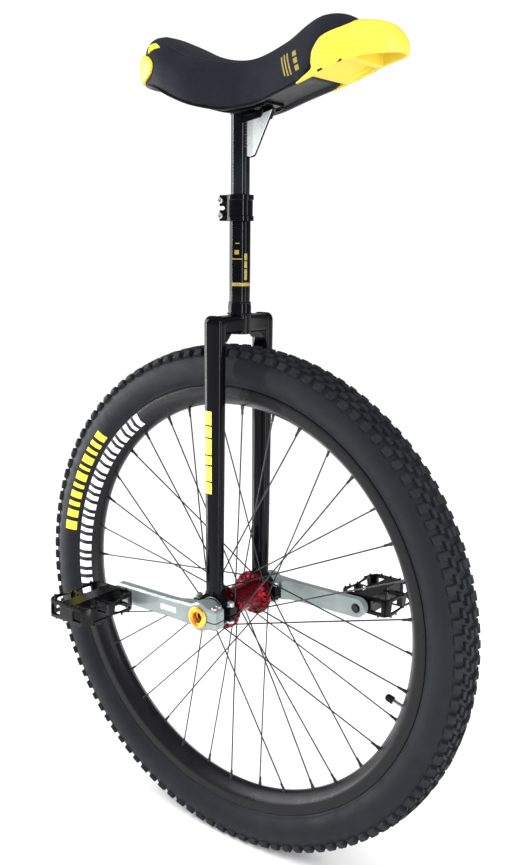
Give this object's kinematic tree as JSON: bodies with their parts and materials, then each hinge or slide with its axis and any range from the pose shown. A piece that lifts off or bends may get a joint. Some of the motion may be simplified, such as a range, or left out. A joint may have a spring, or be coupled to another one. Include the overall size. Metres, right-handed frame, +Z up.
{
  "type": "unicycle",
  "caption": "Off-road unicycle: spoked wheel with a knobbly tyre, straight forked frame, split cranks, platform pedals and a padded saddle with a front grip.",
  "frame": {"origin": "on the ground directly under the hub, in the wheel's middle plane", "axes": "+X forward, +Y to the rider's left, +Z up"},
  "size_m": [0.75, 0.388, 1.1664],
  "materials": {
    "black_paint": "gloss",
    "tyre_rubber": "matt",
    "soft_rubber": "matt",
    "rim_black": "black anodised, satin",
    "red_anodised": "red anodised",
    "gold_anodised": "orange anodised",
    "grey_alloy": "satin",
    "steel": "bright",
    "black_steel": "black, satin",
    "saddle_cloth": "matt cover over foam",
    "black_plastic": "moulded",
    "yellow_plastic": "moulded, satin"
  },
  "bodies": {
    "frame": {"bearing_cap_left": "black_paint", "bearing_cap_right": "black_paint", "bearing_housing_left": "black_paint", "bearing_housing_right": "black_paint", "bearing_outer_ring_left": "steel", "bearing_outer_ring_right": "steel", "cap_bolt_left_front": "steel", "cap_bolt_left_rear": "steel", "cap_bolt_right_front": "steel", "cap_bolt_right_rear": "steel", "clamp_bolt_lower": "steel", "clamp_bolt_upper": "steel", "crown": "black_paint", "fork_leg_left": "black_paint", "fork_leg_right": "black_paint", "neck_tube": "black_paint", "seat_clamp": "black_paint"},
    "seat": {"front_handle": "yellow_plastic", "post_gusset": "black_steel", "post_plate": "black_steel", "rear_bumper": "yellow_plastic", "saddle_base": "black_plastic", "saddle_bolt_front_left": "black_steel", "saddle_bolt_front_right": "black_steel", "saddle_bolt_rear_left": "black_steel", "saddle_bolt_rear_right": "black_steel", "saddle_pad": "saddle_cloth", "seat_post": "black_steel"},
    "wheel": {"axle": "black_steel", "axle_cap_left": "gold_anodised", "axle_cap_right": "gold_anodised", "axle_spacer_left": "grey_alloy", "axle_spacer_right": "grey_alloy", "bearing_inner_ring_left": "steel", "bearing_inner_ring_right": "steel", "crank_left": "grey_alloy", "crank_right": "grey_alloy", "hub_shell": "red_anodised", "inner_tube": "soft_rubber", "pedal_spindle_left": "black_steel", "pedal_spindle_right": "black_steel", "pinch_bolt_left_inner": "steel", "pinch_bolt_left_outer": "steel", "pinch_bolt_right_inner": "steel", "pinch_bolt_right_outer": "steel", "rim": "rim_black", "rim_tape": "soft_rubber", "spokes_left": "black_steel", "spokes_right": "black_steel", "tyre": "tyre_rubber", "valve_cap": "black_plastic", "valve_stem": "steel"},
    "ball_cage_right": {"ball_cage_right": "steel"},
    "pedal_right": {"pedal_body_right": "black_plastic", "pedal_bush_right": "steel", "pedal_dust_cap_right": "black_plastic"},
    "ball_cage_left": {"ball_cage_left": "steel"},
    "pedal_left": {"pedal_body_left": "black_plastic", "pedal_bush_left": "steel", "pedal_dust_cap_left": "black_plastic"}
  },
  "joints": [
    {"name": "wheel_spin", "type": "hinge", "parent": "frame", "child": "wheel", "pos_m": [0, 0, 0.375], "axis": [0, 1, 0], "continuous": true},
    {"name": "pedal_right_spin", "type": "hinge", "parent": "wheel", "child": "pedal_right", "pos_m": [-0.155, -0.145, 0.375], "axis": [0, 1, 0], "continuous": true},
    {"name": "pedal_left_spin", "type": "hinge", "parent": "wheel", "child": "pedal_left", "pos_m": [0.155, 0.145, 0.375], "axis": [0, 1, 0], "continuous": true},
    {"name": "seatpost_slide", "type": "slide", "parent": "frame", "child": "seat", "axis": [0, 0, 1], "range_m": [-0.02, 0.08]},
    {"name": "ball_cage_right_spin", "type": "hinge", "parent": "frame", "child": "ball_cage_right", "pos_m": [0, -0.053, 0.375], "axis": [0, 1, 0], "continuous": true},
    {"name": "ball_cage_left_spin", "type": "hinge", "parent": "frame", "child": "ball_cage_left", "pos_m": [0, 0.053, 0.375], "axis": [0, 1, 0], "continuous": true}
  ],
  "couplings": [
    {"joint": "ball_cage_right_spin", "follows": "wheel_spin", "ratio": 0.461},
    {"joint": "ball_cage_left_spin", "follows": "wheel_spin", "ratio": 0.461}
  ]
}
